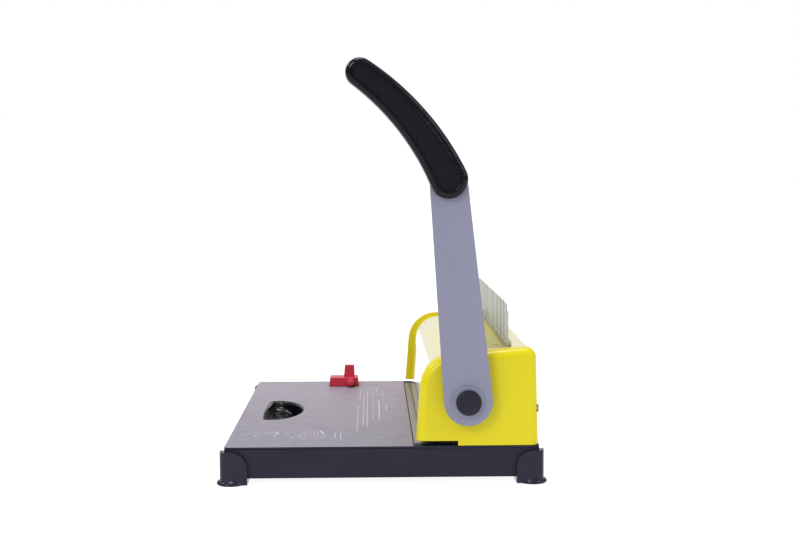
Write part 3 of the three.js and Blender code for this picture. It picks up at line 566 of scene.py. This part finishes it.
def handhold_bowl():
    """A glossy bowl: a lip that is soft at the far side, a steep wall, a round corner, a flat floor."""
    rim, under, ledge, floor = plate_hi.z - 0.1, 17.0, plate_hi.z - 5.2, plate_hi.z - 12.2
    heart, lip = Vector((0, -105)), 2.6
    outer, inner, wall = recess_ring(0.4), recess_ring(0.4 + lip), recess_ring(3.6)

    def core(p):
        """Where a point of the edge lands on the floor's squarish outline."""
        angle = math.atan2((p.y - heart.y) / 20, p.x / RECESS["half"])
        c, k = math.cos(angle), math.sin(angle)
        reach = (abs(c) ** 3.2 + abs(k) ** 3.2) ** (-1 / 3.2)
        return heart + Vector((44 * reach * c, 13 * reach * k))
    floor_ring = [core(p) for p in wall]

    def softness(p):
        t = max(0, min(1, -p.x / RECESS["half"] + 0.25))
        return 0.15 + 0.85 * t * t * (3 - 2 * t)
    low = [p.lerp(heart, 0.12) for p in outer]
    rings = [[Vector((*p, under)) for p in low], [Vector((*p, under + 10)) for p in outer],
             [Vector((*p, rim)) for p in outer]]
    for k in range(1, 7):
        t = math.radians(85 * k / 6)
        ring = []
        for p, q in zip(outer, inner):
            soft = softness(p)
            ring.append(Vector((*p.lerp(q, soft * math.sin(t)), rim - lip * soft * (1 - math.cos(t)))))
        rings.append(ring)
    steps = 14
    for k in range(steps + 1):
        t = math.pi / 2 * k / steps
        ring = [p.lerp(q, 1 - math.cos(t)) for p, q in zip(wall, floor_ring)]
        rings.append([Vector((*p, ledge - (ledge - floor) * math.sin(t))) for p in ring])
    build("handhold_bowl", "base", cup_black, [loft(rings)], angle=60,
          replaces=["handhold_cup"])


def corner_foot(where, x, y, turn):
    """A corner guard on a round foot, drawn about the base's corner and turned into place."""
    size, stand, top, arc = FOOT["size"], FOOT["stand"], FOOT["top"], FOOT["arc"]
    centre, radius, screw, seat = FOOT["centre"], FOOT["radius"], FOOT["screw"], base_lo.z - GAP
    lip = [(radius - 2.2, 0), (radius - 0.9, 0.3), (radius - 0.25, 0.9), (radius, 1.7), (radius - 0.2, 2.5),
           (radius - 0.75, 3.3), (radius - 1.55, 4.0), (radius - 2.5, 4.6),
           (radius - 3.2, 5.2), (radius - 3.8, seat)]
    body = turned("z", centre, centre, lip, 64)
    guard = outline([(-stand, -stand, 7), (size, -stand), (size, size), (-stand, size)], 10)
    walls = prism("z", guard, 1, top)
    pocket = outline([(-GAP, -GAP, CORNER + GAP), (60, -GAP), (60, 60), (-GAP, 60)], 8)
    inside = prism("z", pocket, seat, 50)
    away = []
    for axis in ("x", "y"):
        quarter = [Vector((size - arc + arc * math.sin(math.radians(5 * k)),
                           top - arc + arc * math.cos(math.radians(5 * k)))) for k in range(19)]
        shape = quarter + [Vector((size + 2, top - arc)), Vector((size + 2, top + 2)),
                           Vector((size - arc, top + 2))]
        away.append(prism(axis, shape, -9, 1))
    piece = to_object("foot_guard_" + where, body)
    carved(piece, [walls], "UNION")
    for raw in [inside, *away, turned("z", screw, screw, [(5.2, -1), (5.2, 4)], 32)]:
        carved(piece, [raw], "DIFFERENCE")
    move = (Matrix.Translation(Vector((x * HALF, y * DEPTH, 0)) * MM)
            @ Matrix.Translation(MIDDLE) @ Matrix.Rotation(math.radians(turn), 4, "Z")
            @ Matrix.Translation(-MIDDLE))
    piece.data.transform(move)
    softened(piece, 0.7, 3)
    piece.data.materials.clear()
    piece.data.materials.append(foot_rubber)
    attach(piece, "base")
    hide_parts("foot_" + where)


def chip_drawer():
    lo, hi = span("chip_drawer")
    sheet = 1.5
    face = -HALF - GAP
    tray = block(face - 0.5, hi.x, 46, 96, lo.z, 25)
    room = block(-HALF + sheet, hi.x - sheet, 46 + sheet, 96 - sheet, lo.z + sheet, 40)
    panel = prism("x", rectangle(lo.y, hi.y, lo.z, hi.z, 2), face - 2, face, 0.6)
    pull = prism("z", outline([(face - 1, 58), (face - 1, 84), (lo.x, 82, 3), (lo.x, 60, 3)], 6), 24, 27)
    build("chip_tray", "drawer", base_coat, [tray], cut=[room], add=[panel, pull], edge=0.4,
          replaces=["chip_drawer"])


# ---- Side guide ----------------------------------------------------------------------------
def side_guide():
    lo, hi = guide_lo, guide_hi
    z0, z1 = 36.8, 47.5
    section = outline([(lo.y, z0), (hi.y, z0), (hi.y - 1, z1, 1.2), (lo.y + 1, z1, 1.2)], 5)
    bar = prism("x", section, lo.x, hi.x,
                0.8, 0.8)
    tab = prism("x", outline([(-44.6, z1 - 1), (-29.6, z1 - 1), (-30.4, z1 + 1.5, 1), (-30.8, hi.z, 1.2),
                              (-42.4, hi.z, 1.2), (-43.4, z1 + 1.5, 1)], 5), lo.x + 6, lo.x + 12, 0.6, 0.6)
    key = block(hi.x - 6, hi.x, -44.8, -41.6, lo.z, z0 + 1)
    build("guide_bar", "guide", guide_red, [bar], add=[tab, key], edge=0.25,
          replaces=["side_guide"])


def guide_knob():
    lo, hi = span("guide_lock_knob")
    y, z, lobes = -35, 42.2, 10
    foot, tip = guide_hi.x + GAP, hi.x
    rings = []
    for share, reach, relief in ((0, 4.9, 0.5), (0.04, 5.3, 0.8), (0.1, 5.3, 0.9),
                                 (0.5, 4.2, 0.8), (0.9, 3.0, 0.5),
                                 (0.97, 2.6, 0.3), (1, 2.0, 0.1)):
        ring = []
        for i in range(80):
            angle = math.tau * i / 80
            r = reach - relief * (0.5 - 0.5 * math.cos(lobes * angle)) ** 2
            ring.append(Vector((foot + (tip - foot) * share, y + r * math.cos(angle),
                                z + r * math.sin(angle))))
        rings.append(ring)
    stem = turned("x", y, z, [(1.8, lo.x), (1.8, foot + 1)], 24)
    build("guide_knob", "guide_knob", guide_red, [loft(rings)], add=[stem], angle=50,
          replaces=["guide_lock_knob"])


# ---- Housing -------------------------------------------------------------------------------
def housing_outline(front, top, rear, lip, floor, step=CAP["step"], steps=12):
    h = HOUSING
    return outline([
        (h["front_low"] + front, lip), (step, lip), (step, floor), (h["rear_low"] - rear, floor),
        (h["rear_high"] - rear, h["crest"] - top, max(h["rear_round"] - top, 3)),
        (h["front_high"] + front, h["shoulder"] - top, h["front_round"] - max(front, top)),
    ], steps)


def end_cap(side):
    lip, floor = CAP["lip"], cap_lo.z
    wall, inner, outer = CAP["wall"], cap_lo.x, cap_hi.x
    shape = housing_outline(0, 0, 0, lip, floor)
    skin = prism("x", shape, inner, outer, 0, CAP["rim"], 8, soft=lambda m: m.y > lip + 0.5 or m.x > 140)
    room = prism("x", housing_outline(wall, wall, wall, 0, 0), inner + 2, outer - 3.6)
    mouth = prism("x", housing_outline(CAP["flange"], wall, wall, 0, 0), inner - 1, inner + 2.5)
    lug = turned("y", 187.5, 71, [(2.3, 140), (2.3, 155)], 24)
    cuts = [room, mouth, lug]
    if side > 0:
        cuts.append(turned("x", SHAFT_Y, SHAFT_Z, [(7.5, 185), (7.5, 197)], 40))
    if side < 0:
        skin, cuts = mirrored(skin), [mirrored(c) for c in cuts]
    name = "right" if side > 0 else "left"
    build("cap_" + name, "base", yellow, [skin], cut=cuts, edge=0.3,
          replaces=["end_cap_" + name])


def centre_cover():
    front, top, rear, wall, step = (COVER[k] for k in ("front", "top", "rear", "wall", "step"))
    outer = housing_outline(front, top, rear, CAP["lip"], cover_lo.z, step)
    skin = prism("x", outer, cover_lo.x, cover_hi.x)
    inner = housing_outline(front + wall, top + wall, rear + wall, 0, 0, step)
    room = prism("x", inner, cover_lo.x - 1, cover_hi.x + 1)
    slots = [prism("z", rectangle(x - 2.8, x + 2.8, COMB_Y - 1.5, COMB_Y + 1.5, 0.8, 3), 110, 140)
             for x in TINE_X]
    hooks = [prism("z", rectangle(x - 2.4, x + 2.4, COMB_Y - 25, COMB_Y + 5, 1.2, 3), 105, 140)
             for x in RING_X]
    holes = [turned("y", s * 100, 105, [(2.2, 140), (2.2, 155)], 24) for s in (1, -1)]
    build("cover", "base", cover_yellow_painted_glare, [skin],
          cut=[room, slots, hooks, holes], edge=0.35,
          replaces=["centre_cover"])


def die_plate():
    lo, hi = span("die_plate")
    holes = [block(x - 4.25, x + 4.25, 60.25, 63.75, lo.z - 1, hi.z + 1) for x in RING_X]
    build("die", "base", die_metal,
          [prism("z", rectangle(lo.x, hi.x, lo.y, hi.y), lo.z, hi.z)],
          cut=[holes], edge=0.2, replaces=["die_plate"])


# ---- Comb stand ------------------------------------------------------------------------------
def tine_top(x, half, top, reach, drop):
    """The height of the plate's outline at x: level, easing down towards each end."""
    past = (abs(x) - (half - reach)) / reach
    return top if past <= 0 else top - drop * (1 - math.sqrt(max(1 - past * past, 0)))


def comb_stand():
    """A thin plate with a row of tines: bright on its faces, darker on its sheared edges."""
    lo, hi = span("tine_plate")
    tine, root, half = 4.6, 112, hi.x
    middle, thick = (lo.y + hi.y) / 2, 1.1
    points = [(-half, lo.z)]
    for x in TINE_X:
        left, right = x - tine / 2, x + tine / 2
        if x > TINE_X[0]:
            points.append((left, root, 1.6))
        points.append((left, tine_top(left, half, hi.z, 36, 7), 1.0))
        points.append((right, tine_top(right, half, hi.z, 36, 7), 1.0))
        if x < TINE_X[-1]:
            points.append((right, root, 1.6))
    points.append((half, lo.z))
    plate = prism("y", outline(points, 4), middle - thick / 2, middle + thick / 2, 0.2, 0.2, 2)
    piece = build("comb_tines", "base", tine_metal, [plate], angle=40,
                  replaces=["tine_plate"])
    piece.data.materials.append(tine_edge)
    for face in piece.data.polygons:
        face.material_index = 1 if abs(face.normal.x) > 0.8 else 0


# ---- Handle --------------------------------------------------------------------------------
arm_axis = Vector((-math.sin(math.radians(ARM["lean"])), math.cos(math.radians(ARM["lean"]))))
arm_across = Vector((arm_axis.y, -arm_axis.x))
shaft_at = Vector((SHAFT_Y, SHAFT_Z))


def on_arm(along, across):
    return shaft_at + arm_axis * along + arm_across * across


def bar_outline(grow):
    low, high, corner = ARM["end"] + grow, ARM["top"] + grow, ARM["corner"]
    end = ARM["length"] + grow
    points = []
    for i in range(33):
        angle = -math.pi * i / 32
        points.append(on_arm(low * math.sin(angle), -low * math.cos(angle)))
    for centre, start in ((high - corner, 0), (corner - high, 90)):
        for i in range(9):
            angle = math.radians(start + 90 * i / 8)
            points.append(on_arm(end - corner + corner * math.sin(angle),
                                 centre + corner * math.cos(angle)))
    return points


def grip_at(angle, across):
    r = GRIP["radius"] + across
    return Vector((GRIP["y"] + r * math.cos(math.radians(angle)),
                   GRIP["z"] + r * math.sin(math.radians(angle))))


def band(shrink, start=GRIP["start"], end=GRIP["end"], low=GRIP["low"], high=GRIP["high"],
         steps=36, turns=16):
    """The grip's outline, drawn in: a tapering band along an arc, with round ends."""
    points = []
    spots = [(start + (end - start) * i / steps, low + (high - low) * i / steps - shrink)
             for i in range(steps + 1)]
    points += [grip_at(angle, half) for angle, half in spots]
    for angle, radius, turn in ((end, high - shrink, 0), (start, low - shrink, 180)):
        if turn:
            points += [grip_at(a, -half) for a, half in reversed(spots)]
        centre = grip_at(angle, 0)
        for i in range(1, turns):
            a = math.radians(angle + turn + 180 * i / turns)
            points.append(centre + Vector((math.cos(a), math.sin(a))) * radius)
    return points


SCREW_SPOTS = [grip_at(31, 0), grip_at(46, 0)]


def handle():
    arm = prism("x", bar_outline(0), arm_lo.x, arm_hi.x)
    tang = prism("x", band(0, **TANG, steps=20, turns=8), arm_lo.x + 0.5, arm_hi.x - 0.5)
    hole = turned("x", SHAFT_Y, SHAFT_Z, [(6.35, arm_lo.x - 1), (6.35, arm_hi.x + 1)], 40)
    build("arm", "handle", arm_coat, [arm], add=[tang], cut=[hole], edge=0.7, segments=3,
          replaces=["handle_arm"])


def grip_shell(outward):
    """Half a grip: a glossy rounded rim, a raised line, and a grained panel set in it."""
    split = (arm_lo.x + arm_hi.x) / 2
    far = grip_hi.x if outward > 0 else inner_grip_lo.x
    depth = abs(far - split)
    round_ = 5.0
    profile = [(0.3, 0.15), (0.0, 0.5), (0.0, depth - round_)]
    profile += [(round_ * (1 - math.cos(math.pi / 2 * k / 9)),
                 depth - round_ + round_ * math.sin(math.pi / 2 * k / 9))
                for k in range(1, 10)]
    profile += [(5.3, depth - 0.05), (5.6, depth - 0.75), (5.95, depth - 0.75), (6.2, depth - 0.1),
                (6.4, depth), (6.65, depth - 0.1), (6.95, depth - 0.8), (7.2, depth - 0.85)]
    rings = [[LAY["x"](p, split + outward * d) for p in band(shrink)] for shrink, d in profile]
    body = loft(rings)
    pocket = [prism("x", bar_outline(0.4), arm_lo.x - 0.35, arm_hi.x + 0.35),
              prism("x", band(-0.4, **TANG, steps=20, turns=8), arm_lo.x - 0.35, arm_hi.x + 0.35)]
    cuts = list(pocket)
    if outward < 0:
        cuts.append([turned("x", p.x, p.y, [(4.8, far - 2), (4.8, far + 3.4)], 32) for p in SCREW_SPOTS])
    name = "outer" if outward > 0 else "inner"
    piece = build("grip_" + name, "handle", grip_gloss, [body], cut=cuts, angle=32,
                  replaces=["grip_" + name + "_shell"])
    piece.data.materials.append(grip_leather)
    for face in piece.data.polygons:
        x = (face.center.x - MIDDLE.x) / MM
        if abs(x - split) > depth - 1.2 and abs(face.normal.x) > 0.99 and face.area > 100 * MM * MM:
            face.material_index = 1


def screw_head(name, node, body, axis, a, b, low, high, radius, look=None):
    """A pan head with a cross recess. high is the face that shows; low is under the head."""
    way = 1 if high > low else -1
    height = abs(high - low)
    profile = [(radius, low)]
    for k in range(7):
        t = math.pi / 2 * k / 6
        profile.append((radius * (0.72 + 0.28 * math.cos(t)),
                        low + way * height * (0.35 + 0.65 * math.sin(t))))
    profile.append((radius * 0.3, high))
    shank = turned(axis, a, b, [(radius * 0.42, low - way * 6), (radius * 0.42, low + way * 0.5)], 24)
    arms = []
    for long, wide in ((0.56, 0.14), (0.14, 0.56)):
        shape = rectangle(a - radius * long, a + radius * long, b - radius * wide, b + radius * wide)
        ends = sorted((high - way * height * 0.7, high + way * 2))
        arms.append(prism(axis, shape, *ends))
    build(name, body, look or zinc, [turned(axis, a, b, profile, 40)], add=[shank],
          cut=arms, edge=0.12,
          replaces=[node])


def ring_piece(name, node, look, radius, bore, edge=0.4):
    lo, hi = span(node)
    body = turned("x", SHAFT_Y, SHAFT_Z, [(radius, lo.x), (radius, hi.x)], 64)
    hole = turned("x", SHAFT_Y, SHAFT_Z, [(bore, lo.x - 1), (bore, hi.x + 1)], 48)
    build(name, "handle", look, [body], cut=[hole], edge=edge, replaces=[node])


def pivot():
    lo, hi = span("pivot_screw")
    head = span("pivot_washer")[1].x + GAP
    radius, thick = 11.9, hi.x - head
    profile = [(radius - 0.6, head), (radius - 0.1, head + 0.5), (radius, thick * 0.55 + head)]
    profile += [(radius - 1.9 * (1 - math.cos(t)), head + thick * (0.55 + 0.42 * math.sin(t)))
                for t in (math.pi / 2 * k / 6 for k in range(1, 7))]
    profile += [(radius - 3.4, hi.x - 0.02), (radius - 4.2, hi.x - 0.5), (1, hi.x - 0.5)]
    stem = turned("x", SHAFT_Y, SHAFT_Z, [(3, lo.x), (3, head + 1)], 24)
    build("pivot_cap", "handle", screw_black,
          [turned("x", SHAFT_Y, SHAFT_Z, profile, 64)], add=[stem],
          angle=30, replaces=["pivot_screw"])
    ring_piece("arm_spacer", "arm_collar", zinc, 11, 6.35)
    ring_piece("washer", "pivot_washer", arm_coat, 15.5, 3.6, 0.7)


# ---- Printed marks ---------------------------------------------------------------------------
INK_Z = 36.53


def stroke(points, width, closed=False):
    """A flat printed line through points."""
    count = len(points)
    left, right = [], []
    for i, p in enumerate(points):
        before = points[i - 1] if closed or i else p
        after = points[(i + 1) % count] if closed or i < count - 1 else p
        along = (after - before).normalized()
        across = Vector((-along.y, along.x)) * width / 2
        left.append(p + across)
        right.append(p - across)
    corners = [Vector((q.x, q.y, INK_Z)) for pair in zip(left, right) for q in pair]
    faces = []
    for i in range(count if closed else count - 1):
        j = (i + 1) % count
        faces.append((2 * i, 2 * i + 1, 2 * j + 1, 2 * j))
    return corners, faces


def line(x0, y0, x1, y1, width=0.6):
    return stroke([Vector((x0, y0)), Vector((x1, y1))], width)


def arc(radius, x, y, first, last, width, steps=20):
    """Part of a printed ring between two angles in degrees."""
    angles = [math.radians(first + (last - first) * i / steps) for i in range(steps + 1)]
    return stroke([Vector((x + radius * math.cos(a), y + radius * math.sin(a))) for a in angles], width)


def prints():
    """The ruled block by the throat, and a row of small unlettered pictures along the near edge."""
    raws = []
    for y, x0, x1, width in ((-24.5, -20, 120, 0.6), (-23, -130, -60, 0.5),
                              (-18.5, -100, 90, 0.6), (-14.5, -120, 100, 0.6),
                             (-8.2, -130, 60, 0.5), (-4, -132, -110, 0.8),
                              (-1.6, -60, 60, 1.0), (3.4, -132, -40, 0.4),
                             (6.6, -30, 10, 0.8)):
        raws.append(line(x0, y, x1, y, width))
    raws += [stroke(circle(1.8, -138, y, 16), 1.2, True) for y in (-10, -3)]
    raws.append(arc(9, 142, -129, 110, 250, 0.7))
    for radius, first, last, width in ((17, 120, 250, 1.0), (13, 60, 200, 0.8), (8, 150, 330, 0.7)):
        raws.append(arc(radius, 140, -118, first, last, width))
    raws.append(line(122, -106, 134, -102, 1.6))
    raws += [line(120 + 12 * k, -98 + 4 * k, 128 + 12 * k, -94 + 3 * k, 0.8) for k in range(3)]
    raws += [stroke(circle(2.6, 124 + 13 * k, -89 + 2 * k, 12), 0.6, True) for k in range(3)]
    for radius, first, last, width in ((20, 20, 330, 1.0), (15.5, 0, 350, 0.5), (11, 40, 300, 0.5)):
        ring = arc(radius, 0, 0, first, last, width, 36)
        raws.append(([Vector((141 + 1.15 * p.x, -69 + 0.62 * p.y, p.z)) for p in ring[0]], ring[1]))
    raws.append(line(118, -62, 134, -57, 1.6))
    raws += [line(126, -76 + 3 * k, 156, -76 + 3 * k, 0.4) for k in range(5)]
    raws += [line(130, -46, 154, -46, 0.8), line(122, -40.4, 160, -40.4, 0.7)]
    layered = [([p + Vector((0, 0, 0.002 * k)) for p in points], faces)
               for k, (points, faces) in enumerate(raws)]
    piece = to_object("platform_print", merged(layered))
    for face in piece.data.polygons:
        face.use_smooth = False
    piece.data.materials.append(ink)
    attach(piece, "base")


base_tray()
platform()
handhold_bowl()
for spot in (("front_right", 1, -1, 90), ("rear_right", 1, 1, 180), ("rear_left", -1, 1, 270),
             ("front_left", -1, -1, 0)):
    corner_foot(*spot)
chip_drawer()
side_guide()
guide_knob()
end_cap(1)
end_cap(-1)
centre_cover()
die_plate()
comb_stand()
handle()
grip_shell(1)
grip_shell(-1)
pivot()
for s, which in ((1, "right"), (-1, "left")):
    for kind, x, z in (("cap_screw", s * 187.5, 71), ("cover_screw", s * 100, 105)):
        face = span(kind + "_" + which)[1].y
        screw_head(kind + "_head_" + which, kind + "_" + which, "base", "y", x, z, face - 1.2, face, 4)
for which, spot in zip(("lower", "upper"), SCREW_SPOTS):
    screw_head("grip_screw_head_" + which, "grip_screw_" + which, "handle", "x", spot.x, spot.y,
               inner_grip_lo.x + 3.1, inner_grip_lo.x + 0.9, 4.2)
prints()


# ---- Stage, light and camera -------------------------------------------------------------------
ROOM = (0.42, 1.0)
KEY_FROM = (1.6, -0.9, 0.95)


def studio():
    floor_mesh = bpy.data.meshes.new("floor")
    made = bmesh.new()
    bmesh.ops.create_grid(made, x_segments=1, y_segments=1, size=14)
    made.to_mesh(floor_mesh)
    made.free()
    floor = bpy.data.objects.new("floor", floor_mesh)
    bpy.context.scene.collection.objects.link(floor)
    look = Look("floor_white", Specular_IOR_Level=0.05, Emission_Color=(1, 1, 1, 1), Emission_Strength=0.92)
    paper = look.mixed(look.noise(400, 2), rgb(160, 160, 160), rgb(150, 150, 150))
    floor_mesh.materials.append(look.done(paper, 0.95))

    # The room is white behind the machine, grey all round and lighter above. The camera sees only white.
    world = bpy.data.worlds.new("studio")
    world.use_nodes = True
    tree = world.node_tree

    def node(kind, **settings):
        made = tree.nodes.new(kind)
        for key, value in settings.items():
            setattr(made, key, value)
        return made

    def ranged(source, *numbers):
        made = node("ShaderNodeMapRange")
        tree.links.new(source, made.inputs["Value"])
        for key, number in zip(("From Min", "From Max", "To Min", "To Max"), numbers):
            made.inputs[key].default_value = number
        return made.outputs["Result"]

    def brighter(a, b):
        made = node("ShaderNodeMath", operation="MAXIMUM")
        tree.links.new(a, made.inputs[0])
        tree.links.new(b, made.inputs[1])
        return made.outputs[0]

    split = node("ShaderNodeSeparateXYZ")
    tree.links.new(node("ShaderNodeTexCoord").outputs["Generated"], split.inputs[0])
    backdrop = ranged(split.outputs[0], -0.85, -0.2, 0.84, 0)
    sky = ranged(split.outputs[2], 0, 1, *ROOM)
    seen = node("ShaderNodeLightPath").outputs["Is Camera Ray"]
    tree.links.new(brighter(seen, brighter(backdrop, sky)), tree.nodes["Background"].inputs[1])
    tree.nodes["Background"].inputs[0].default_value = (1, 1, 1, 1)
    bpy.context.scene.world = world

    def lamp(name, kind, at, aim, energy):
        light = bpy.data.lights.new(name, kind)
        light.energy = energy
        holder = bpy.data.objects.new(name, light)
        bpy.context.scene.collection.objects.link(holder)
        holder.location = at
        holder.rotation_mode = "QUATERNION"
        holder.rotation_quaternion = (Vector(aim) - Vector(at)).to_track_quat("-Z", "Y")
        return light

    def softbox(name, at, aim, width, height, power):
        light = lamp(name, "AREA", at, aim, power)
        light.shape, light.size, light.size_y = "RECTANGLE", width, height

    lamp("key", "SUN", KEY_FROM, (0, 0, 0), 1.1).angle = 0.4
    softbox("overhead", (0.1, -0.1, 1.7), (0, 0, 0.1), 0.35, 1.0, 12)
    softbox("strip_near", (1.25, 1.33, 1.15), (0.2, 0, 0.3), 0.04, 1.2, 3.2)
    softbox("strip_far", (0.77, 1.5, 1.15), (0.2, 0, 0.3), 0.06, 1.2, 4.5)
    softbox("left", (0.1, -1.2, 1.3), (0, -0.1, 0.35), 0.35, 0.35, 5)
    bpy.context.scene.view_settings.view_transform = "Standard"


def camera():
    yaw, pitch, roll = (math.radians(a) for a in (-1.297, 4.06, 0.19))
    data = bpy.data.cameras.new("camera")
    data.sensor_width, data.lens = 36, 57.62
    data.clip_start, data.clip_end = 0.05, 60
    lens = bpy.data.objects.new("camera", data)
    bpy.context.scene.collection.objects.link(lens)
    ahead = Vector((-math.cos(pitch) * math.cos(yaw), -math.cos(pitch) * math.sin(yaw), -math.sin(pitch)))
    right = ahead.cross(Vector((0, 0, 1))).normalized()
    up = right.cross(ahead)
    turn = Matrix.Rotation(roll, 3, ahead)
    right, up = turn @ right, turn @ up
    lens.matrix_world = Matrix.Translation(Vector((1395, -9.6, 292.3)) * MM + MIDDLE) @ Matrix(
        (right, up, -ahead)).transposed().to_4x4()
    bpy.context.scene.camera = lens


studio()
camera()
